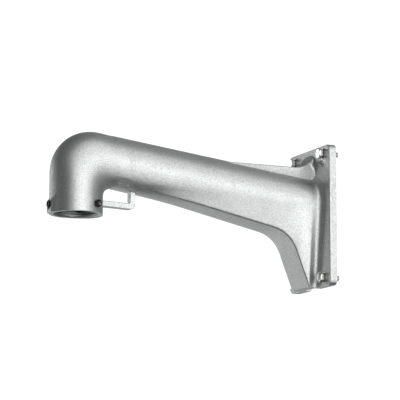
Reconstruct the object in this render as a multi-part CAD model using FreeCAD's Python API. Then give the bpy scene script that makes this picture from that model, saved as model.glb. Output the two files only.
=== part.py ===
"""Cast aluminium gooseneck wall bracket for a pendant camera.

Millimetres. The wall plane is x = 0 at the back of the wall plate, +X points
away from the wall along the arm, +Y across the plate and +Z up. The origin is
the centre of the four wall bolts on the wall plane.
"""

import FreeCAD
import Part

import math
import os

V = FreeCAD.Vector

# Wall plate
plate_width = 97.0
plate_height = 154.0
plate_thickness = 8.5
plate_corner_r = 6.5
plate_edge_r = 1.0
bolt_margin_y = 14.9
bolt_margin_z = 9.1
bolt_hole_r = 3.5
keyhole_r = 6.5
keyhole_drop = 7.5
notch_width = 22.0
notch_height = 4.2

# Arm, measured in vertical sections along X
arm_root_radius = 30.9
arm_tip_radius = 28.2
arm_root_height = 13.7
arm_slope = 0.138
arm_wall = 4.2
root_flare_r = 7.0
root_flare_turn = 75.0

# Flat underside of the arm, which turns down into the foot of the root
underside_slope = 0.219
underside_height = -15.2
underside_height_x = 62.5
foot_slope = 2.6
foot_depth = 20.4
foot_half_at_plate = 14.5
underside_bend_r = 37.0
underside_half_root = 21.5
underside_half_tip = 19.0
underside_corner_r = 3.5
underside_crown = 1.0
underside_merge_x = 150.0
underside_fade_x = 205.0
core_corner_r = 1.5
seam_top = 7.0
seam_side = 2.0

# Elbow and collar
collar_axis_x = 282.6
collar_radius = 28.2
collar_rim_z = -11.8
elbow_inner_r = 11.0
elbow_outer_r = 44.2
elbow_sections = 9
collar_middle = 0.4
thread_minor_r = 22.4
thread_length = 18.0
mouth_chamfer = 1.8

# Gusset on top of the root
gusset_half_width = 14.5
gusset_top_z = 55.0
gusset_sweep_r = 25.0
gusset_sweep_x = 23.5
gusset_sink = 10.0
gusset_arch_r = 11.0
gusset_edge_r = 1.4

# Set screws in the collar and their pads
screw_count = 3
screw_height = 8.9
screw_major_r = 4.0
screw_length = 8.0
screw_reach = 31.8
screw_socket_af = 4.0
screw_socket_depth = 4.0
screw_point = 0.8
thread_fit = 0.05
pad_half_width = 6.0
pad_height = 12.6
pad_reach = 30.2
pad_draft = 1.0
spot_face_r = 5.3
spot_face_reach = 28.8

# Safety rope eye
eye_width = 8.7
eye_bar_height = 6.2
eye_leg_thickness = 5.8
eye_end_x = 217.1
eye_low_z = -3.2
eye_slope = 0.036
eye_outer_r = 5.4
eye_inner_r = 1.6
eye_edge_r = 0.7
eye_root = 2.0

# Wall bolts, M6 hexagon head, with a spring washer and a flat washer each
bolt_r = 3.0
bolt_neck_r = 2.67
bolt_length = 20.0
bolt_head_af = 10.0
bolt_head_height = 4.0
bolt_point = 0.6
bolt_head_bevel = 30.0
washer_outer_r = 6.0
washer_inner_r = 3.2
washer_thickness = 1.0
spring_outer_r = 5.3
spring_inner_r = 3.05
spring_thickness = 1.4
spring_gap = 1.4

arm_stations = [20.4, 24, 28, 32, 37, 42, 48, 55, 62, 70, 80, 95, 110, 130, 150, 170, 190, 205, 222]
flare_steps = 6
root_flare_start = 1.0
hair = 0.001
joint_margin = 1e-7
over = 1.0

half_w = plate_width / 2.0
half_h = plate_height / 2.0


def lerp(a, b, t):
    """Value between a and b for t from 0 to 1."""
    return a + (b - a) * max(0.0, min(1.0, t))


def direction(angle):
    """Unit vector in a section plane, turned from +Y towards +Z."""
    return V(0, math.cos(angle), math.sin(angle))


def arm_axis_z(x):
    """Height of the centre of the arm's round part at x."""
    return arm_root_height + arm_slope * (x - plate_thickness)


inner_bend_x = collar_axis_x - collar_radius - elbow_inner_r
inner_bend_z = arm_axis_z(inner_bend_x) - arm_tip_radius - elbow_inner_r


def arm_narrowing():
    """How much the arm's round part loses in radius per unit of x."""
    return (arm_root_radius - arm_tip_radius) / (inner_bend_x - plate_thickness)


def arm_radius(x):
    """Radius of the arm's round part at x."""
    t = (x - plate_thickness) / (inner_bend_x - plate_thickness)
    return lerp(arm_root_radius, arm_tip_radius, t)


def underside_z(x, inset):
    """Height of the underside at x: a line, a bend and a steeper line.

    A positive inset moves the curve into the metal.
    """
    a1 = math.atan(underside_slope)
    a2 = math.atan(foot_slope)
    p1 = V(underside_height_x, 0, underside_height) + V(-math.sin(a1), 0, math.cos(a1)) * inset
    p2 = V(foot_depth, 0, -half_h) + V(-math.sin(a2), 0, math.cos(a2)) * inset
    dx = ((p2.z - p1.z) - foot_slope * (p2.x - p1.x)) / (underside_slope - foot_slope)
    corner = V(p1.x + dx, 0, p1.z + underside_slope * dx)
    bend_r = underside_bend_r + inset
    tangent = bend_r * math.tan((a2 - a1) / 2.0)
    x1 = corner.x + tangent * math.cos(a1)
    x2 = corner.x - tangent * math.cos(a2)
    if x >= x1:
        return corner.z + underside_slope * (x - corner.x)
    if x <= x2:
        return corner.z + foot_slope * (x - corner.x)
    centre_x = x1 + bend_r * math.sin(a1)
    centre_z = corner.z + tangent * math.sin(a1) - bend_r * math.cos(a1)
    return centre_z + math.sqrt(bend_r ** 2 - (x - centre_x) ** 2)


def corner_place(x, inset, big, small):
    """Distance and direction of the underside's corner circle from the arm's centre."""
    if x < foot_depth:
        along = (x - plate_thickness) / (foot_depth - plate_thickness)
        half = lerp(foot_half_at_plate, underside_half_root, along)
    else:
        along = (x - foot_depth) / (underside_merge_x - foot_depth)
        half = lerp(underside_half_root, underside_half_tip, along)
    cy = half - inset - small
    cz = underside_z(x, inset) + small + underside_crown - arm_axis_z(x)
    return math.hypot(cy, cz), math.atan2(cz, cy)


def arm_section(x, inset):
    """Closed section of the arm at x: round top, flat walls and a crowned underside.

    The underside's corners fade into a plain circle at underside_fade_x.
    """
    big = arm_radius(x) - inset
    small = max(underside_corner_r - inset, core_corner_r)
    zc = arm_axis_z(x)
    centre = V(x, 0, zc)
    merge = min(x, underside_merge_x)
    merge_big = arm_radius(merge) - inset
    dist, angle = corner_place(merge, inset, merge_big, small)
    proud = dist - (merge_big - small)
    if x >= underside_fade_x:
        return circle_section(centre, big, angle)
    low_z = underside_z(x, inset)
    if x > underside_merge_x:
        fade = (x - underside_merge_x) / (underside_fade_x - underside_merge_x)
        proud = lerp(proud, 0.0, fade)
        dist = big - small + proud
        low_z = zc - big
    corner = centre + direction(angle) * dist
    rise = corner.z - low_z
    crown_r = (corner.y ** 2 + rise ** 2 - small ** 2) / (2.0 * (rise - small))
    crown_z = low_z + crown_r
    wall = angle + math.acos((big - small) / dist)
    down = math.atan2(corner.z - crown_z, corner.y)
    return section_wire(
        top=centre + V(0, 0, big),
        start=centre + direction(wall) * big,
        wall=corner + direction(wall) * small,
        corner=corner + direction((wall + down) / 2.0) * small,
        down=corner + direction(down) * small,
        bottom=V(x, 0, low_z),
    )


def section_wire(top, start, wall, corner, down, bottom):
    """Wire of six edges from the points of its +Y half."""
    left_start = V(start.x, -start.y, start.z)
    left_wall = V(wall.x, -wall.y, wall.z)
    left_corner = V(corner.x, -corner.y, corner.z)
    left_down = V(down.x, -down.y, down.z)
    return Part.Wire([
        Part.Arc(left_start, top, start).toShape(),
        Part.LineSegment(start, wall).toShape(),
        Part.Arc(wall, corner, down).toShape(),
        Part.Arc(down, bottom, left_down).toShape(),
        Part.Arc(left_down, left_corner, left_wall).toShape(),
        Part.LineSegment(left_wall, left_start).toShape(),
    ])


def circle_section(centre, radius, angle):
    """Circle cut into six edges that match the arm's section near angle."""
    a_start = angle + math.radians(seam_top)
    a_wall = angle + math.radians(seam_side)
    a_down = angle - math.radians(seam_side)
    marks = [math.pi - a_start, a_start, a_wall, a_down]
    marks += [-math.pi - a for a in (a_down, a_wall, a_start)]
    edges = []
    for first, last in zip(marks, marks[1:]):
        points = [centre + direction(a) * radius for a in (first, (first + last) / 2.0, last)]
        edges.append(Part.Arc(*points).toShape())
    return Part.Wire(edges)


def elbow_outer(angle):
    """Distance from the inner bend's centre to the elbow's outer skin."""
    slope = arm_slope - arm_narrowing()
    lean = math.atan(slope)
    top_z = arm_axis_z(inner_bend_x) + arm_tip_radius
    outer_x = collar_axis_x + collar_radius
    bend_x = outer_x - elbow_outer_r
    bend_z = top_z + slope * (bend_x - inner_bend_x) - elbow_outer_r / math.cos(lean)
    dx = math.sin(angle)
    dz = math.cos(angle)
    if dz > slope * dx:
        along_top = (top_z - inner_bend_z) / (dz - slope * dx)
        if inner_bend_x + along_top * dx <= bend_x - elbow_outer_r * math.sin(lean):
            return along_top
    along_side = (outer_x - inner_bend_x) / dx
    if inner_bend_z + along_side * dz <= bend_z:
        return along_side
    px = inner_bend_x - bend_x
    pz = inner_bend_z - bend_z
    b = px * dx + pz * dz
    return -b + math.sqrt(b * b - (px * px + pz * pz - elbow_outer_r ** 2))


def elbow_section(angle, inset):
    """Ellipse of the elbow on the plane that fans out at angle from the inner bend."""
    up = V(math.sin(angle), 0, math.cos(angle))
    inner = elbow_inner_r + inset
    outer = elbow_outer(angle) - inset
    centre = V(inner_bend_x, 0, inner_bend_z) + up * ((inner + outer) / 2.0)
    across = lerp(arm_tip_radius, collar_radius, angle / (math.pi / 2.0)) - inset
    tall = max((outer - inner) / 2.0, across + joint_margin)
    return Part.Wire([Part.Ellipse(centre + up * tall, centre + V(0, across, 0), centre).toShape()])


def flare_stations():
    """Pairs of x and outward growth where the root opens on to the plate."""
    pairs = []
    turn = math.radians(root_flare_turn)
    for i in range(flare_steps + 1):
        angle = turn * (1.0 - i / flare_steps)
        x = plate_thickness + root_flare_r * (math.sin(turn) - math.sin(angle))
        pairs.append((x, root_flare_r * (1.0 - math.cos(angle))))
    return pairs


def arm_skin():
    """Outside of the arm from inside the plate to the elbow."""
    flare = flare_stations()
    steep = (flare[0][1] - flare[1][1]) / (flare[1][0] - flare[0][0])
    start = (plate_thickness - root_flare_start, flare[0][1] + steep * root_flare_start)
    stations = [start] + flare
    stations += [(x, 0.0) for x in arm_stations if x > flare[-1][0]]
    stations.append((inner_bend_x, 0.0))
    return Part.makeLoft([arm_section(x, -grow) for x, grow in stations], True, False)


def arm_core():
    """Hollow of the arm from behind the wall plane to the elbow."""
    stations = [-over, plate_thickness, plate_thickness + root_flare_r] + arm_stations + [inner_bend_x]
    return Part.makeLoft([arm_section(x, arm_wall) for x in stations], True, False)


def elbow_form(inset, end_z):
    """Elbow and the collar's straight part down to end_z, moved inwards by inset."""
    step = math.pi / 2.0 / elbow_sections
    fan = [elbow_section(step * i, inset) for i in range(elbow_sections + 1)]
    straight = []
    for share in (collar_middle, 1.0):
        ring = fan[-1].copy()
        ring.translate(V(0, 0, (end_z - inner_bend_z) * share))
        straight.append(ring)
    return Part.makeLoft(fan + straight, True, False)


def box_between(low, high):
    """Box from its lowest to its highest corner."""
    size = high - low
    return Part.makeBox(size.x, size.y, size.z, low)


def edges_where(shape, test):
    """Edges of a shape whose middle point passes a test."""
    return [e for e in shape.Edges if test(e, e.valueAt((e.FirstParameter + e.LastParameter) / 2.0))]


def runs_along_x(edge):
    """Whether an edge starts off along the X axis."""
    return abs(edge.tangentAt(edge.FirstParameter).x) > 0.9


def bolt_places():
    """Centres of the four wall bolts on the wall plane."""
    return [
        V(0, side * (half_w - bolt_margin_y), level * (half_h - bolt_margin_z))
        for level in (1, -1)
        for side in (1, -1)
    ]


def wall_plate():
    """Plate with rounded corners and a softened front edge."""
    plate = box_between(V(0, -half_w, -half_h), V(plate_thickness, half_w, half_h))
    plate = plate.makeFillet(plate_corner_r, edges_where(plate, lambda e, m: runs_along_x(e)))
    front = edges_where(plate, lambda e, m: abs(m.x - plate_thickness) < hair)
    return plate.makeFillet(plate_edge_r, front)


def gusset():
    """Flat-topped fin above the root, which sweeps up to an arch on the plate."""
    low_z = arm_root_height
    sweep_x = plate_thickness + gusset_sweep_x
    sweep_z = gusset_top_z + gusset_sweep_r
    arch_z = sweep_z - math.sqrt(gusset_sweep_r ** 2 - gusset_sweep_x ** 2)
    turn = math.asin(gusset_sweep_x / gusset_sweep_r) / 2.0
    middle = V(sweep_x - gusset_sweep_r * math.sin(turn), 0, sweep_z - gusset_sweep_r * math.cos(turn))
    start_x = plate_thickness / 2.0
    shoulder_z = low_z + math.sqrt(arm_root_radius ** 2 - gusset_half_width ** 2)
    meet_x = plate_thickness + (gusset_top_z - shoulder_z) / (arm_slope - arm_narrowing())
    end_x = meet_x + gusset_sink
    profile = Part.Wire([
        Part.LineSegment(V(start_x, 0, low_z), V(end_x, 0, low_z)).toShape(),
        Part.LineSegment(V(end_x, 0, low_z), V(end_x, 0, gusset_top_z)).toShape(),
        Part.LineSegment(V(end_x, 0, gusset_top_z), V(sweep_x, 0, gusset_top_z)).toShape(),
        Part.Arc(V(sweep_x, 0, gusset_top_z), middle, V(plate_thickness, 0, arch_z)).toShape(),
        Part.LineSegment(V(plate_thickness, 0, arch_z), V(start_x, 0, arch_z)).toShape(),
        Part.LineSegment(V(start_x, 0, arch_z), V(start_x, 0, low_z)).toShape(),
    ])
    fin = Part.Face(profile).extrude(V(0, 2 * gusset_half_width, 0))
    fin.translate(V(0, -gusset_half_width, 0))
    arch = box_between(V(0, -gusset_half_width, 0), V(end_x + over, gusset_half_width, arch_z))
    corners = edges_where(arch, lambda e, m: abs(m.z - arch_z) < hair and runs_along_x(e))
    fin = fin.common(arch.makeFillet(gusset_arch_r, corners))

    def on_top_side(edge, m):
        return abs(m.z - gusset_top_z) < hair and abs(abs(m.y) - gusset_half_width) < hair

    return fin.makeFillet(gusset_edge_r, edges_where(fin, on_top_side))


def collar_pads():
    """Drafted pads round the set screws, which run down to the rim."""
    depth = pad_reach - thread_minor_r
    spread = depth * pad_draft
    pad = Part.makeWedge(
        -pad_half_width - spread, thread_minor_r, 0, 0, -pad_half_width,
        pad_half_width + spread, pad_reach, pad_height + spread, pad_height, pad_half_width,
    )
    pad.rotate(V(), V(0, 0, 1), -90)
    return on_collar(pad)


def on_collar(shape):
    """Copies of a shape made at the rim's centre, spread round the collar's axis."""
    copies = []
    for i in range(screw_count):
        copy = shape.copy()
        copy.rotate(V(), V(0, 0, 1), i * 360.0 / screw_count)
        copy.translate(V(collar_axis_x, 0, collar_rim_z))
        copies.append(copy)
    return copies


def radial_pin(radius, start, end):
    """Round pin at the set screws' height, between two distances from the axis."""
    return Part.makeCylinder(radius, end - start, V(start, 0, screw_height), V(1, 0, 0))


def rope_eye():
    """Bent bar from the collar to the arm's underside, for a safety rope."""
    inner_x = eye_end_x + eye_leg_thickness
    reach_x = collar_axis_x - thread_minor_r - eye_root
    high_z = arm_axis_z(eye_end_x) - arm_radius(eye_end_x) / 2.0

    def low(x, rise):
        return eye_low_z + rise + eye_slope * (x - eye_end_x)

    outline = Part.makePolygon([
        V(eye_end_x, 0, high_z),
        V(eye_end_x, 0, low(eye_end_x, 0)),
        V(reach_x, 0, low(reach_x, 0)),
        V(reach_x, 0, low(reach_x, eye_bar_height)),
        V(inner_x, 0, low(inner_x, eye_bar_height)),
        V(inner_x, 0, high_z),
        V(eye_end_x, 0, high_z),
    ])
    bar = Part.Face(outline).extrude(V(0, eye_width, 0))
    bar.translate(V(0, -eye_width / 2.0, 0))

    def outer_corner(edge, m):
        return m.x < eye_end_x + hair and m.z < 0 and abs(m.y) < hair

    def inner_corner(edge, m):
        return abs(m.x - inner_x) < hair and m.z < eye_bar_height and abs(m.y) < hair

    def on_side(edge, m):
        open_edge = m.x < reach_x - hair and m.z < high_z - hair
        return open_edge and abs(abs(m.y) - eye_width / 2.0) < hair

    bar = bar.makeFillet(eye_outer_r, edges_where(bar, outer_corner))
    bar = bar.makeFillet(eye_inner_r, edges_where(bar, inner_corner))
    return bar.makeFillet(eye_edge_r, edges_where(bar, on_side))


def keyhole(place):
    """Cutter for a bolt slot with a larger opening below it, through the plate."""
    start = V(-over, place.y, place.z)
    through = plate_thickness + 2 * over
    slot = Part.makeCylinder(bolt_hole_r, through, start, V(1, 0, 0))
    neck = box_between(
        V(-over, place.y - bolt_hole_r, place.z - keyhole_drop),
        V(through - over, place.y + bolt_hole_r, place.z),
    )
    opening = Part.makeCylinder(keyhole_r, through, start - V(0, 0, keyhole_drop), V(1, 0, 0))
    return slot.fuse([neck, opening])


def bracket_skin():
    """Outside of the casting, still solid."""
    foot = box_between(V(-over, -half_w, -2 * plate_height), V(underside_merge_x, half_w, -half_h))
    body = arm_skin().cut(foot).fuse(elbow_form(0.0, collar_rim_z))
    for piece in [wall_plate(), gusset(), rope_eye()] + collar_pads():
        body = body.fuse(piece)
    return body


def cable_way():
    """Hollow from the wall plane through the root, arm and elbow to the thread."""
    floor_z = notch_height - half_h
    below = box_between(V(-2 * over, -half_w, -2 * plate_height), V(underside_merge_x, half_w, floor_z))
    return arm_core().cut(below).fuse(elbow_form(arm_wall, collar_rim_z + thread_length))


def bracket_casting():
    """The casting: plate, hollow root, arm, elbow and collar, gusset and rope eye."""
    through = plate_thickness + 2 * over
    outward = V(1, 0, 0)
    rim = V(collar_axis_x, 0, collar_rim_z)
    notch = box_between(
        V(-over, -notch_width / 2.0, -half_h - over),
        V(plate_thickness, notch_width / 2.0, 2 * notch_height - half_h),
    )
    cutters = [
        cable_way(),
        Part.makeCylinder(thread_minor_r, thread_length + over, rim - V(0, 0, over / 2.0)),
        Part.makeCone(thread_minor_r + mouth_chamfer, thread_minor_r, mouth_chamfer, rim),
        notch,
    ]
    for place in bolt_places():
        if place.z > 0:
            cutters.append(keyhole(place))
        else:
            cutters.append(Part.makeCylinder(bolt_hole_r, through, place - outward * over, outward))
    cutters += on_collar(radial_pin(spot_face_r, spot_face_reach, pad_reach + over))
    cutters += on_collar(radial_pin(screw_major_r, thread_minor_r - over, pad_reach + over))
    body = bracket_skin()
    for cutter in cutters:
        body = body.cut(cutter)
    return body


def hexagon(across_flats, height):
    """Hexagonal bar along +X with two corners on the Z axis."""
    corner_r = across_flats / math.sqrt(3.0)
    angles = [i * math.pi / 3.0 for i in range(7)]
    corners = [V(0, corner_r * math.sin(a), corner_r * math.cos(a)) for a in angles]
    return Part.Face(Part.makePolygon(corners)).extrude(V(height, 0, 0))


def wall_bolt():
    """Hexagon head bolt with its head seated at x = 0 and its thread behind the wall plane."""
    away = V(1, 0, 0)
    neck = plate_thickness + washer_thickness + spring_thickness
    head = hexagon(bolt_head_af, bolt_head_height)
    corner_r = bolt_head_af / math.sqrt(3.0) + hair
    rise = (corner_r - bolt_head_af / 2.0) * math.tan(math.radians(bolt_head_bevel))
    crown_height = bolt_head_height - rise
    crown = Part.makeCylinder(corner_r, crown_height, V(), away)
    bevel = Part.makeCone(corner_r, bolt_head_af / 2.0, rise, V(crown_height, 0, 0), away)
    head = head.common(crown.fuse(bevel))
    shank = Part.makeCylinder(bolt_neck_r, neck, V(-neck, 0, 0), away)
    thread_start = bolt_point - bolt_length
    thread = Part.makeCylinder(bolt_r, -neck - thread_start, V(thread_start, 0, 0), away)
    point = Part.makeCone(bolt_r - bolt_point, bolt_r, bolt_point, V(-bolt_length, 0, 0), away)
    return head.fuse([shank, thread, point])


def ring(outer_r, inner_r, thickness):
    """Flat ring along +X from x = 0."""
    outer = Part.makeCylinder(outer_r, thickness, V(), V(1, 0, 0))
    return outer.cut(Part.makeCylinder(inner_r, thickness + 2 * over, V(-over, 0, 0), V(1, 0, 0)))


def spring_washer():
    """Split ring, cut through at its top."""
    high = V(spring_thickness + over, spring_gap / 2.0, spring_outer_r + over)
    cut = box_between(V(-over, -spring_gap / 2.0, 0), high)
    return ring(spring_outer_r, spring_inner_r, spring_thickness).cut(cut)


def set_screw():
    """Socket set screw along +X at its height over the rim, its socket end outwards."""
    away = V(1, 0, 0)
    radius = screw_major_r - thread_fit
    tip_x = screw_reach - screw_length
    shank = Part.makeCylinder(radius, screw_length - screw_point, V(tip_x + screw_point, 0, 0), away)
    point = Part.makeCone(radius - screw_point, radius, screw_point, V(tip_x, 0, 0), away)
    socket = hexagon(screw_socket_af, screw_socket_depth)
    socket.translate(V(screw_reach - screw_socket_depth, 0, 0))
    screw = shank.fuse(point).cut(socket)
    screw.translate(V(0, 0, screw_height))
    return screw


def placed(shape, x, place):
    """Copy of a fastener moved to a bolt's place, x off the wall plane."""
    copy = shape.copy()
    copy.translate(V(x, place.y, place.z))
    return copy


def all_pieces():
    """Every separate piece of the bracket by name."""
    pieces = {"bracket_casting": bracket_casting()}
    washer_x = plate_thickness
    spring_x = washer_x + washer_thickness
    head_x = spring_x + spring_thickness
    flat = ring(washer_outer_r, washer_inner_r, washer_thickness)
    spring = spring_washer()
    bolt = wall_bolt()
    for i, place in enumerate(bolt_places()):
        pieces["flat_washer_%d" % (i + 1)] = placed(flat, washer_x, place)
        pieces["spring_washer_%d" % (i + 1)] = placed(spring, spring_x, place)
        pieces["wall_bolt_%d" % (i + 1)] = placed(bolt, head_x, place)
    for i, screw in enumerate(on_collar(set_screw())):
        pieces["set_screw_%d" % (i + 1)] = screw
    return pieces


if __name__ == "__main__":
    os.makedirs("parts", exist_ok=True)
    for name, shape in all_pieces().items():
        print(name, shape.isValid(), len(shape.Solids), round(shape.Volume, 1))
        shape.exportStep("parts/%s.step" % name)
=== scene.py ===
"""Looks of the cast camera bracket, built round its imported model.

Metres. The wall plane is x = 0, +X points away from the wall and +Z is up.
"""

import math

import bmesh
import bpy
from mathutils import Matrix, Vector


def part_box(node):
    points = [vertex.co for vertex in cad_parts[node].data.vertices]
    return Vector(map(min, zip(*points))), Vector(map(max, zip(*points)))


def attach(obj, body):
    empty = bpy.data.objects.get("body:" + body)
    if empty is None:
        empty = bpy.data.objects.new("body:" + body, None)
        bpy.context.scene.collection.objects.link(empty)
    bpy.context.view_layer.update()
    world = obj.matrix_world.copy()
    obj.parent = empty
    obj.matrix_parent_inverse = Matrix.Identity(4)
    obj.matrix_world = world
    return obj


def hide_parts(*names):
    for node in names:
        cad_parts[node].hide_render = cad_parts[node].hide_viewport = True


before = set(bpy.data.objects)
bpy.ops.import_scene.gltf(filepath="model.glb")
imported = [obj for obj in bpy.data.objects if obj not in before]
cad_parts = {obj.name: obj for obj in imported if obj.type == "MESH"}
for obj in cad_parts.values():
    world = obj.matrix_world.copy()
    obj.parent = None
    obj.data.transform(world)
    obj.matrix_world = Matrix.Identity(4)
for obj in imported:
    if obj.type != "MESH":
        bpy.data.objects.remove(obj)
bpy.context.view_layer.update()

bl_info = {
    "name": "Camera bracket looks",
    "version": (1, 0, 0),
    "blender": (4, 5, 0),
    "location": "View3D > Sidebar > Camera bracket",
    "description": "Dresses the cast camera bracket with its finishes, threads and studio",
    "category": "Object",
}

MM = 0.001
MERGE = 1e-6
ROUND = 48
RINGS_PER_PITCH = 8
COLLAR_X = 0.2826
COLLAR_RIM_Z = -0.0118
# Angle of one side of a hexagon
SIDE = math.pi / 3.0
# How far past the bore's own size its faces are looked for
SLACK = 0.5 * MM
# Places of the mix node's colour sockets, among those of its other data types
MIX_FIRST, MIX_SECOND, MIX_RESULT = 6, 7, 2


def linear(hex_colour):
    """Linear RGBA of an sRGB hex colour."""
    shares = [int(hex_colour[i : i + 2], 16) / 255.0 for i in (1, 3, 5)]
    return [c / 12.92 if c <= 0.04045 else ((c + 0.055) / 1.055) ** 2.4 for c in shares] + [1.0]


def length(name, description, default):
    """A length property in metres."""
    return bpy.props.FloatProperty(
        name=name,
        description=description,
        default=default,
        min=0.0,
        precision=5,
        subtype="DISTANCE",
        unit="LENGTH",
    )


def colour(name, description, default):
    """A colour property from an sRGB hex value."""
    return bpy.props.FloatVectorProperty(
        name=name,
        description=description,
        default=linear(default),
        size=4,
        min=0.0,
        max=1.0,
        subtype="COLOR",
    )


class BracketSizes(bpy.types.PropertyGroup):
    """Sizes of the threads and small forms."""

    bolt_radius: length("Bolt radius", "Crest radius of the M6 wall bolts", 3.0 * MM)
    bolt_neck: length("Bolt neck radius", "Radius of the plain neck under the head", 2.67 * MM)
    bolt_pitch: length("Bolt pitch", "Pitch of the M6 thread", 1.0 * MM)
    bolt_flats: length("Bolt head width", "Width across the head's flats", 10.0 * MM)
    bolt_point: length("Bolt point", "Bevel at the bolts' ends", 0.6 * MM)
    head_drop: length("Head edge", "Drop of the head's bevel under its end face", 0.12 * MM)
    screw_radius: length("Set screw radius", "Crest radius of the M8 set screws", 3.95 * MM)
    screw_pitch: length("Set screw pitch", "Pitch of the M8 thread", 1.25 * MM)
    screw_length: length("Set screw length", "Length from tip to socket end", 8.0 * MM)
    screw_reach: length("Set screw reach", "Socket end's distance from the collar's axis", 31.8 * MM)
    screw_height: length("Set screw height", "Height of the screws over the collar's rim", 8.9 * MM)
    screw_point: length("Set screw point", "Bevel at the set screws' tips", 0.8 * MM)
    screw_rim: length("Set screw rim", "Bevel round the socket end", 0.45 * MM)
    socket_flats: length("Socket width", "Width across the socket's flats", 4.0 * MM)
    socket_depth: length("Socket depth", "Depth of the socket", 4.0 * MM)
    pipe_radius: length("Pipe thread radius", "Crest radius of the collar's inside thread", 22.4 * MM)
    pipe_depth: length("Pipe thread depth", "Depth of the collar's inside thread", 1.48 * MM)
    pipe_pitch: length("Pipe thread pitch", "Pitch of the collar's inside thread", 2.309 * MM)
    pipe_length: length("Pipe thread length", "Length of the collar's inside thread", 15.5 * MM)
    bore_length: length("Bore length", "Length of the collar's bore under the cable way", 18.0 * MM)
    tap_lead: length("Tap lead", "Length below the rim at which the tap starts", 2.0 * MM)
    flat_bore: length("Flat washer bore", "Inner radius of the flat washers", 3.2 * MM)
    spring_bore: length("Spring washer bore", "Inner radius of the spring washers", 3.05 * MM)
    spring_gap: length("Spring washer gap", "Width of the cut through the spring washers", 1.4 * MM)
    washer_soft: length("Washer edge", "Softening of the washers' edges", 0.15 * MM)


class BracketFinish(bpy.types.PropertyGroup):
    """Colours of the metals and the studio."""

    cast: colour("Casting", "Blasted cast aluminium", "#dcdfde")
    cast_dull: colour("Casting, dull", "Duller patches of the casting's skin", "#b5b9b8")
    # Darker than cut aluminium alone: partly the grey of the cut metal and partly painted shade for the deep tapped
    # bore.
    machined: colour("Machined aluminium", "Cut aluminium in the collar's thread", "#a9adac")
    steel: colour("Stainless steel", "Turned and cold headed stainless steel", "#e2e1de")
    # Darker than tempered steel alone: partly painted shade for the split washers' crevice under the bolt heads.
    spring: colour("Spring steel", "Tempered spring steel of the split washers", "#77777a")
    black: colour("Black oxide", "Black oxide on the set screws", "#2a2a2b")
    floor: colour("Floor", "Pale floor paint", "#e9e9e7")


def add_node(tree, kind, settings=None, inputs=None):
    """Adds a node with its settings; an input is a value or the socket that feeds it."""
    node = tree.nodes.new(kind)
    for name, value in (settings or {}).items():
        setattr(node, name, value)
    for name, value in (inputs or {}).items():
        if isinstance(value, bpy.types.NodeSocket):
            tree.links.new(value, node.inputs[name])
        else:
            node.inputs[name].default_value = value
    return node


def new_material(name, metallic):
    """Node material with its tree, its shader and the object coordinates."""
    material = bpy.data.materials.new(name)
    material.use_nodes = True
    tree = material.node_tree
    tree.nodes.clear()
    shader = add_node(tree, "ShaderNodeBsdfPrincipled", inputs={"Metallic": metallic})
    add_node(tree, "ShaderNodeOutputMaterial", inputs={"Surface": shader.outputs["BSDF"]})
    place = add_node(tree, "ShaderNodeTexCoord").outputs["Object"]
    return material, tree, shader, place


def noise(tree, place, grain, detail=2.0):
    """Noise whose grains are about the given size in metres."""
    inputs = {"Vector": place, "Scale": 1.0 / grain, "Detail": detail}
    return add_node(tree, "ShaderNodeTexNoise", inputs=inputs).outputs["Fac"]


def spread(tree, value, low, high):
    """Maps the middle of a noise to a range from low to high."""
    inputs = {"Value": value, "From Min": 0.3, "From Max": 0.7, "To Min": low, "To Max": high}
    return add_node(tree, "ShaderNodeMapRange", inputs=inputs).outputs["Result"]


def blend_colours(tree, share, first, second):
    """Mixes two colours by a share from 0 to 1."""
    inputs = {"Factor": share, MIX_FIRST: first, MIX_SECOND: second}
    node = add_node(tree, "ShaderNodeMix", {"data_type": "RGBA"}, inputs)
    return node.outputs[MIX_RESULT]


def bump(tree, height, distance, strength, under=None):
    """Surface relief of a real depth in metres."""
    inputs = {"Height": height, "Distance": distance, "Strength": strength}
    if under is not None:
        inputs["Normal"] = under
    return add_node(tree, "ShaderNodeBump", inputs=inputs).outputs["Normal"]


def blasted_cast_aluminium(finish):
    """Sand-cast aluminium, shot blasted: an even satin skin with a fine sparkle and soft, wide highlights."""
    material, tree, shader, place = new_material("blasted_cast_aluminium", 1.0)
    mottle = noise(tree, place, 22.0 * MM, 3.0)
    # Blasting grit leaves pits of 0.2 to 0.4 mm; they are drawn at 1 mm so that they show.
    grit = noise(tree, place, 1.0 * MM, 2.0)
    skin = noise(tree, place, 4.0 * MM, 2.0)
    patches = spread(tree, mottle, 0.0, 0.2)
    specks = spread(tree, grit, -0.35, 0.75)
    share = add_node(tree, "ShaderNodeMath", {"operation": "ADD", "use_clamp": True}, {0: patches, 1: specks})
    tint = blend_colours(tree, share.outputs["Value"], finish.cast, finish.cast_dull)
    tree.links.new(tint, shader.inputs["Base Color"])
    tree.links.new(spread(tree, grit, 0.36, 0.5), shader.inputs["Roughness"])
    waves = bump(tree, skin, 0.05 * MM, 0.25)
    tree.links.new(bump(tree, grit, 0.12 * MM, 0.8, waves), shader.inputs["Normal"])
    return material


def machined_aluminium_and_bore_shade(finish):
    """Aluminium cut by a tap: smoother than the blasted skin, with fine marks from the tool; its colour is partly the
    grey of cut aluminium and partly painted shade inside the deep bore.
    """
    material, tree, shader, place = new_material("machined_aluminium_and_bore_shade", 1.0)
    shader.inputs["Base Color"].default_value = finish.machined
    marks = noise(tree, place, 0.8 * MM, 2.0)
    tree.links.new(spread(tree, marks, 0.38, 0.5), shader.inputs["Roughness"])
    tree.links.new(bump(tree, marks, 0.02 * MM, 0.3), shader.inputs["Normal"])
    return material


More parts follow.
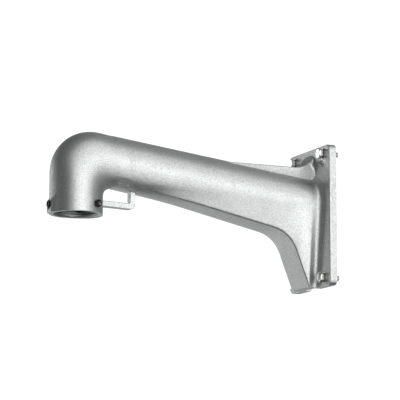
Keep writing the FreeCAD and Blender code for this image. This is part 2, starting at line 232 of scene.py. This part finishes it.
def turned_stainless_steel(finish):
    """Stainless steel, cold headed and turned: bright and slightly warm, with fine drawing lines."""
    material, tree, shader, place = new_material("turned_stainless_steel", 1.0)
    shader.inputs["Base Color"].default_value = finish.steel
    # Drawing lines of about 0.1 mm run along the bolts; they are drawn at 0.5 mm so that they show.
    inputs = {"Vector": place, "Scale": (0.1, 1.0, 1.0)}
    along = add_node(tree, "ShaderNodeMapping", inputs=inputs).outputs["Vector"]
    lines = noise(tree, along, 0.5 * MM, 2.0)
    tree.links.new(spread(tree, lines, 0.1, 0.18), shader.inputs["Roughness"])
    tree.links.new(bump(tree, lines, 0.01 * MM, 0.3), shader.inputs["Normal"])
    return material


def spring_steel_and_washer_shade(finish):
    """Spring steel, rolled and tempered: darker than the bolts, partly its tempered colour and partly painted shade
    for the crevice under the bolt heads, with a smooth grey shine.
    """
    material, tree, shader, place = new_material("spring_steel_and_washer_shade", 1.0)
    shader.inputs["Base Color"].default_value = finish.spring
    scale = noise(tree, place, 0.7 * MM, 2.0)
    tree.links.new(spread(tree, scale, 0.22, 0.34), shader.inputs["Roughness"])
    tree.links.new(bump(tree, scale, 0.01 * MM, 0.3), shader.inputs["Normal"])
    return material


def black_oxide_steel(finish):
    """Hardened steel with black oxide and oil: near black, with a soft dark shine."""
    material, tree, shader, place = new_material("black_oxide_steel", 0.85)
    shader.inputs["Base Color"].default_value = finish.black
    bloom = noise(tree, place, 1.2 * MM, 3.0)
    tree.links.new(spread(tree, bloom, 0.3, 0.45), shader.inputs["Roughness"])
    tree.links.new(bump(tree, bloom, 0.01 * MM, 0.2), shader.inputs["Normal"])
    return material


def matt_floor_paint(finish):
    """Matt emulsion on a studio floor: pale, with no shine."""
    material, tree, shader, place = new_material("matt_floor_paint", 0.0)
    shader.inputs["Base Color"].default_value = finish.floor
    # The room's lights are dim and directional, so the floor brings its own even light.
    shader.inputs["Emission Color"].default_value = finish.floor
    shader.inputs["Emission Strength"].default_value = 0.75
    roller = noise(tree, place, 8.0 * MM, 2.0)
    tree.links.new(spread(tree, roller, 0.75, 0.9), shader.inputs["Roughness"])
    tree.links.new(bump(tree, roller, 0.1 * MM, 0.1), shader.inputs["Normal"])
    return material


def material_once(maker):
    """The material of a maker, made the first time that it is asked for."""
    found = bpy.data.materials.get(maker.__name__)
    return found or maker(bpy.context.scene.bracket_finish)


def turned(profile, closed=False, angle=2.0 * math.pi):
    """Solid turned round +Z from (radius, height) points, from pole to pole or as a closed ring."""
    bm = bmesh.new()
    verts = [bm.verts.new((radius, 0.0, height)) for radius, height in profile]
    ends = verts[1:] + verts[:1] if closed else verts[1:]
    edges = [bm.edges.new(pair) for pair in zip(verts, ends)]
    full = angle > 2.0 * math.pi - MERGE
    bmesh.ops.spin(
        bm,
        geom=verts + edges,
        cent=(0.0, 0.0, 0.0),
        axis=(0.0, 0.0, 1.0),
        angle=angle,
        steps=ROUND,
        use_merge=full,
    )
    bmesh.ops.remove_doubles(bm, verts=bm.verts, dist=MERGE)
    if not full:
        bmesh.ops.holes_fill(bm, edges=[e for e in bm.edges if e.is_boundary], sides=0)
    bmesh.ops.recalc_face_normals(bm, faces=bm.faces)
    return bm


def thread_rings(radius, low, high, pitch):
    """Fine rings for a thread, as (radius, height) points from low to high."""
    count = max(2, round(abs(high - low) / pitch * RINGS_PER_PITCH))
    return [(radius, low + (high - low) * i / count) for i in range(count + 1)]


def press_thread(bm, radius, depth, pitch, runout):
    """Presses a helical groove into rings of one radius; it fades over some pitches at both ends."""
    ring = [v for v in bm.verts if abs(math.hypot(v.co.x, v.co.y) - radius) < MERGE]
    low = min(v.co.z for v in ring)
    high = max(v.co.z for v in ring)
    for v in ring:
        turn = v.co.z / pitch - math.atan2(v.co.y, v.co.x) / (2.0 * math.pi)
        groove = 1.0 - abs(2.0 * (turn % 1.0) - 1.0)
        fade = min(1.0, (v.co.z - low) / (runout * pitch), (high - v.co.z) / (runout * pitch))
        scale = (radius - depth * groove * fade) / radius
        v.co.x *= scale
        v.co.y *= scale


def to_hexagon(bm, radius, flats, low, high):
    """Moves rings of one radius between two heights on to a hexagon; returns them."""
    moved = []
    for v in bm.verts:
        if abs(math.hypot(v.co.x, v.co.y) - radius) < MERGE and low <= v.co.z <= high:
            angle = math.atan2(v.co.y, v.co.x) % SIDE
            reach = flats / 2.0 / math.cos(angle - SIDE / 2.0)
            v.co.x *= reach / radius
            v.co.y *= reach / radius
            moved.append(v)
    return moved


def finished(bm, name, maker, replaced, sharp=30.0):
    """Turns a bmesh into a piece of the bracket that rides on it and stands for a CAD node."""
    mesh = bpy.data.meshes.new(name)
    bm.to_mesh(mesh)
    bm.free()
    mesh.shade_smooth()
    mesh.set_sharp_from_angle(angle=math.radians(sharp))
    mesh.materials.append(material_once(maker))
    piece = bpy.data.objects.new(name, mesh)
    bpy.context.scene.collection.objects.link(piece)
    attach(piece, "root")
    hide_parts(replaced)
    return piece


def along_x(place):
    """Matrix that turns +Z to +X and moves the origin to a place."""
    return Matrix.Translation(place) @ Matrix.Rotation(math.pi / 2.0, 4, "Y")


def node_centre(node, x):
    """Point on a node's axis along X at x."""
    low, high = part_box(node)
    return Vector((x, (low.y + high.y) / 2.0, (low.z + high.z) / 2.0))


class BRACKET_OT_casting(bpy.types.Operator):
    """The casting with its tapped collar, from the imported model's own surface"""

    bl_idname = "bracket.casting"
    bl_label = "Casting"

    def execute(self, context):
        sizes = context.scene.bracket_sizes
        bm = bmesh.new()
        bm.from_mesh(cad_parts["bracket_casting"].data)
        bmesh.ops.remove_doubles(bm, verts=bm.verts, dist=MERGE)
        casting = finished(bm, "casting", blasted_cast_aluminium, "bracket_casting")
        tap = self.collar_tap(sizes)
        cut = casting.modifiers.new("collar_thread", "BOOLEAN")
        cut.operation = "DIFFERENCE"
        cut.solver = "EXACT"
        cut.object = tap
        context.view_layer.update()
        graph = context.evaluated_depsgraph_get()
        mesh = bpy.data.meshes.new_from_object(casting.evaluated_get(graph))
        casting.modifiers.clear()
        casting.data = mesh
        bpy.data.objects.remove(tap)
        mesh.name = casting.name
        mesh.materials.clear()
        mesh.materials.append(material_once(blasted_cast_aluminium))
        mesh.materials.append(material_once(machined_aluminium_and_bore_shade))
        # The bore's faces get the darker machined colour, which is partly painted shade inside the collar.
        self.mark_machined(mesh, sizes)
        mesh.shade_smooth()
        mesh.set_sharp_from_angle(angle=math.radians(28.0))
        weights = casting.modifiers.new("flat_faces", "WEIGHTED_NORMAL")
        weights.keep_sharp = True
        return {"FINISHED"}

    def collar_tap(self, sizes):
        """Cutter with a helical ridge, as long as the collar's thread."""
        crest = sizes.pipe_radius + sizes.pipe_depth
        low = COLLAR_RIM_Z - sizes.tap_lead
        high = COLLAR_RIM_Z + sizes.pipe_length
        rings = thread_rings(crest, low, high, sizes.pipe_pitch)
        bm = turned([(0.0, low)] + rings + [(0.0, high)])
        self.press_ridge(bm, sizes, low)
        bmesh.ops.translate(bm, verts=bm.verts, vec=(COLLAR_X, 0.0, 0.0))
        mesh = bpy.data.meshes.new("collar_tap")
        bm.to_mesh(mesh)
        bm.free()
        tap = bpy.data.objects.new("collar_tap", mesh)
        bpy.context.scene.collection.objects.link(tap)
        return tap

    def press_ridge(self, bm, sizes, low):
        """Presses the thread's ridge into the cutter; it grows over the first turns from the rim."""
        crest = sizes.pipe_radius + sizes.pipe_depth
        # Between its ridges the cutter stays just inside the bore, where it cuts nothing.
        under = sizes.pipe_radius - 0.1 * MM
        lead = 4.0 * sizes.pipe_pitch
        for v in bm.verts:
            if abs(math.hypot(v.co.x, v.co.y) - crest) > MERGE:
                continue
            turn = v.co.z / sizes.pipe_pitch - math.atan2(v.co.y, v.co.x) / (2.0 * math.pi)
            ridge = abs(2.0 * (turn % 1.0) - 1.0)
            grown = min(1.0, max(0.0, v.co.z - low) / lead)
            reach = under + (crest - under) * ridge * grown
            v.co.x *= reach / crest
            v.co.y *= reach / crest

    def mark_machined(self, mesh, sizes):
        """Gives the tapped bore the machined finish, whose darker colour is partly painted shade inside the bore."""
        bore = sizes.pipe_radius + sizes.pipe_depth + SLACK
        top = COLLAR_RIM_Z + sizes.bore_length + SLACK
        for face in mesh.polygons:
            middle = face.center
            reach = math.hypot(middle.x - COLLAR_X, middle.y)
            inside = reach < bore and COLLAR_RIM_Z + MERGE < middle.z < top
            face.material_index = 1 if inside else 0


class BRACKET_OT_wall_bolts(bpy.types.Operator):
    """The four hexagon head wall bolts with their threads"""

    bl_idname = "bracket.wall_bolts"
    bl_label = "Wall bolts"

    def execute(self, context):
        sizes = context.scene.bracket_sizes
        for i in (1, 2, 3, 4):
            node = "wall_bolt_%d" % i
            low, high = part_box(node)
            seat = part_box("spring_washer_%d" % i)[1].x
            bm = self.bolt(sizes, low.x, seat, high.x)
            bmesh.ops.transform(bm, matrix=along_x(node_centre(node, 0.0)), verts=bm.verts)
            finished(bm, "hex_bolt_%d" % i, turned_stainless_steel, node)
        return {"FINISHED"}

    def bolt(self, sizes, tip, seat, top):
        """Bolt along +Z with its head between seat and top and its tip at tip."""
        corner = sizes.bolt_flats / 2.0 / math.cos(SIDE / 2.0)
        inscribed = sizes.bolt_flats / 2.0
        crest = sizes.bolt_radius
        point = sizes.bolt_point
        rise = (corner - inscribed) * math.tan(math.radians(30.0))
        profile = [(0.0, top), (inscribed * 0.96, top), (corner, top - 0.1 * MM)]
        profile += [(corner, seat), (sizes.bolt_neck, seat), (sizes.bolt_neck, 0.0)]
        profile += thread_rings(crest, -MERGE, tip + point, sizes.bolt_pitch)
        profile += [(crest - point, tip), (0.0, tip)]
        bm = turned(profile)
        for v in to_hexagon(bm, corner, sizes.bolt_flats, seat - MERGE, top):
            if v.co.z > seat + MERGE:
                reach = math.hypot(v.co.x, v.co.y)
                v.co.z = top - rise * (reach - inscribed) / (corner - inscribed) - sizes.head_drop
        press_thread(bm, crest, 0.54 * sizes.bolt_pitch, sizes.bolt_pitch, 0.7)
        bmesh.ops.recalc_face_normals(bm, faces=bm.faces)
        return bm


class BRACKET_OT_washers(bpy.types.Operator):
    """The four flat washers and the four split spring washers"""

    bl_idname = "bracket.washers"
    bl_label = "Washers"

    def execute(self, context):
        sizes = context.scene.bracket_sizes
        for i in (1, 2, 3, 4):
            for form, inner in (("flat", sizes.flat_bore), ("spring", sizes.spring_bore)):
                node = "%s_washer_%d" % (form, i)
                low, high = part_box(node)
                outer = (high.y - low.y) / 2.0
                gap = sizes.spring_gap if form == "spring" else 0.0
                bm = self.ring(inner, outer, high.x - low.x, sizes.washer_soft, gap)
                centre = node_centre("wall_bolt_%d" % i, low.x)
                bmesh.ops.transform(bm, matrix=along_x(centre), verts=bm.verts)
                name = "plain_washer_%d" % i if form == "flat" else "split_washer_%d" % i
                # The split washers' darker steel is partly painted shade under the bolt heads.
                maker = turned_stainless_steel if form == "flat" else spring_steel_and_washer_shade
                finished(bm, name, maker, node)
        return {"FINISHED"}

    def ring(self, inner, outer, thick, soft, gap):
        """Washer with softened edges, cut through at its top where it has a gap."""
        profile = [(inner, soft), (inner + soft, 0.0), (outer - soft, 0.0), (outer, soft)]
        profile += [(outer, thick - soft), (outer - soft, thick), (inner + soft, thick), (inner, thick - soft)]
        if not gap:
            return turned(profile, closed=True)
        cut = gap / outer
        bm = turned(profile, closed=True, angle=2.0 * math.pi - cut)
        # Local -X becomes the top of the washer on the wall.
        turn = Matrix.Rotation(math.pi + cut / 2.0, 3, "Z")
        bmesh.ops.rotate(bm, cent=(0.0, 0.0, 0.0), matrix=turn, verts=bm.verts)
        return bm


class BRACKET_OT_set_screws(bpy.types.Operator):
    """The three socket set screws in the collar"""

    bl_idname = "bracket.set_screws"
    bl_label = "Set screws"

    def execute(self, context):
        sizes = context.scene.bracket_sizes
        for i in (1, 2, 3):
            bm = self.screw(sizes)
            bmesh.ops.transform(bm, matrix=along_x((0.0, 0.0, 0.0)), verts=bm.verts)
            turn = Matrix.Rotation((i - 1) * 2.0 * math.pi / 3.0, 4, "Z")
            place = Vector((COLLAR_X, 0.0, COLLAR_RIM_Z + sizes.screw_height))
            bmesh.ops.transform(bm, matrix=Matrix.Translation(place) @ turn, verts=bm.verts)
            name = "socket_screw_%d" % i
            piece = finished(bm, name, black_oxide_steel, "set_screw_%d" % i)
            piece.data.materials.append(material_once(turned_stainless_steel))
        return {"FINISHED"}

    def screw(self, sizes):
        """Set screw along +Z, its socket end at its reach from the axis."""
        top = sizes.screw_reach
        tip = top - sizes.screw_length
        crest = sizes.screw_radius
        point = sizes.screw_point
        rim = sizes.screw_rim
        corner = sizes.socket_flats / 2.0 / math.cos(SIDE / 2.0)
        floor = top - sizes.socket_depth
        profile = [(0.0, floor), (corner, floor), (corner, top), (crest - rim, top)]
        profile += thread_rings(crest, top - rim, tip + point, sizes.screw_pitch)
        profile += [(crest - point, tip), (0.0, tip)]
        bm = turned(profile)
        socket = set(to_hexagon(bm, corner, sizes.socket_flats, floor - MERGE, top + MERGE))
        for face in bm.faces:
            # The broached socket stays bare metal.
            bare = all(v in socket or math.hypot(v.co.x, v.co.y) < MERGE for v in face.verts)
            face.material_index = 1 if bare else 0
        press_thread(bm, crest, 0.6 * sizes.screw_pitch, sizes.screw_pitch, 0.6)
        bmesh.ops.recalc_face_normals(bm, faces=bm.faces)
        return bm


def aim(azimuth, elevation):
    """Unit vector towards an azimuth from +X and an elevation, in degrees."""
    a = math.radians(azimuth)
    e = math.radians(elevation)
    return Vector((math.cos(a) * math.cos(e), math.sin(a) * math.cos(e), math.sin(e)))


def soft_light(tree, ray, azimuth, elevation, core, edge, strength):
    """Round soft light at a direction: full inside core degrees, fading out at edge degrees."""
    inputs = {0: ray, 1: aim(azimuth, elevation)}
    near = add_node(tree, "ShaderNodeVectorMath", {"operation": "DOT_PRODUCT"}, inputs)
    inputs = {
        "Value": near.outputs["Value"],
        "From Min": math.cos(math.radians(edge)),
        "From Max": math.cos(math.radians(core)),
        "To Max": strength,
    }
    fade = add_node(tree, "ShaderNodeMapRange", {"interpolation_type": "SMOOTHSTEP"}, inputs)
    return fade.outputs["Result"]


# Azimuth, elevation, core, edge (degrees) and strength of the soft lights in the room.
SOFT_LIGHTS = (
    (97.0, 28.0, 16.0, 54.0, 1.08),
    (97.0, -22.0, 18.0, 52.0, 1.12),
    (-73.0, -20.0, 15.0, 60.0, 0.56),
    (200.0, 20.0, 10.0, 70.0, 0.22),
    (-66.0, 9.0, 3.0, 6.0, 1.6),
)
ROOM_LEVEL = 0.12
# The backdrop is a little over white, so that it stays clean
BACKDROP_LEVEL = 1.1
FLOOR_Z = -1.4


class BRACKET_OT_studio(bpy.types.Operator):
    """The pale floor, the soft lights and the camera"""

    bl_idname = "bracket.studio"
    bl_label = "Studio"

    def execute(self, context):
        self.floor()
        self.surroundings(context.scene)
        self.camera(context.scene)
        return {"FINISHED"}

    def floor(self):
        """Level floor, far enough below the bracket for views from below; it lights nothing."""
        bm = bmesh.new()
        bmesh.ops.create_grid(bm, x_segments=8, y_segments=8, size=12.0)
        bmesh.ops.translate(bm, verts=bm.verts, vec=(0.0, 0.0, FLOOR_Z))
        mesh = bpy.data.meshes.new("floor")
        bm.to_mesh(mesh)
        bm.free()
        mesh.materials.append(material_once(matt_floor_paint))
        floor = bpy.data.objects.new("floor", mesh)
        bpy.context.scene.collection.objects.link(floor)
        floor.visible_glossy = False
        floor.visible_diffuse = False

    def surroundings(self, scene):
        """White backdrop to the eye, with a dimmer grey room for the lighting."""
        world = bpy.data.worlds.new("studio")
        world.use_nodes = True
        tree = world.node_tree
        tree.nodes.clear()
        ray = add_node(tree, "ShaderNodeTexCoord").outputs["Generated"]
        level = None
        for light in SOFT_LIGHTS:
            lit = soft_light(tree, ray, *light)
            inputs = {0: lit, 1: ROOM_LEVEL if level is None else level}
            level = add_node(tree, "ShaderNodeMath", {"operation": "ADD"}, inputs).outputs["Value"]
        room = add_node(tree, "ShaderNodeBackground", inputs={"Color": linear("#ffffff"), "Strength": level})
        white = add_node(tree, "ShaderNodeBackground", inputs={"Color": linear("#ffffff"), "Strength": BACKDROP_LEVEL})
        path = add_node(tree, "ShaderNodeLightPath")
        mix = add_node(tree, "ShaderNodeMixShader", inputs={"Fac": path.outputs["Is Camera Ray"]})
        tree.links.new(room.outputs["Background"], mix.inputs[1])
        tree.links.new(white.outputs["Background"], mix.inputs[2])
        add_node(tree, "ShaderNodeOutputWorld", inputs={"Surface": mix.outputs["Shader"]})
        scene.world = world
        scene.view_settings.view_transform = "Standard"

    def camera(self, scene):
        """Camera at the photograph's place, looking up at the bracket from its left."""
        data = bpy.data.cameras.new("camera")
        data.lens = 198.1
        data.sensor_width = 36.0
        camera = bpy.data.objects.new("camera", data)
        scene.collection.objects.link(camera)
        right = Vector((-0.91104, 0.41231, 0.0)).normalized()
        forward = Vector((-0.40669, -0.89861, 0.16458)).normalized()
        up = right.cross(forward)
        turn = Matrix((right, up, -forward)).transposed()
        camera.matrix_world = Matrix.Translation((1.10188, 2.12510, -0.37605)) @ turn.to_4x4()
        scene.camera = camera


class BRACKET_PT_sidebar(bpy.types.Panel):
    """Lists the bracket's pieces"""

    bl_idname = "BRACKET_PT_sidebar"
    bl_label = "Camera bracket"
    bl_space_type = "VIEW_3D"
    bl_region_type = "UI"
    bl_category = "Camera bracket"

    def draw(self, context):
        for step in STEPS:
            self.layout.operator(step.bl_idname)
        for group in (context.scene.bracket_sizes, context.scene.bracket_finish):
            box = self.layout.box()
            for name in group.__annotations__:
                box.prop(group, name)


STEPS = (
    BRACKET_OT_casting,
    BRACKET_OT_wall_bolts,
    BRACKET_OT_washers,
    BRACKET_OT_set_screws,
    BRACKET_OT_studio,
)
CLASSES = (BracketSizes, BracketFinish) + STEPS + (BRACKET_PT_sidebar,)


def register():
    for cls in CLASSES:
        bpy.utils.register_class(cls)
    bpy.types.Scene.bracket_sizes = bpy.props.PointerProperty(type=BracketSizes)
    bpy.types.Scene.bracket_finish = bpy.props.PointerProperty(type=BracketFinish)


def unregister():
    del bpy.types.Scene.bracket_finish
    del bpy.types.Scene.bracket_sizes
    for cls in reversed(CLASSES):
        bpy.utils.unregister_class(cls)


def main():
    register()
    bpy.ops.bracket.casting()
    bpy.ops.bracket.wall_bolts()
    bpy.ops.bracket.washers()
    bpy.ops.bracket.set_screws()
    bpy.ops.bracket.studio()


if __name__ == "__main__":
    main()
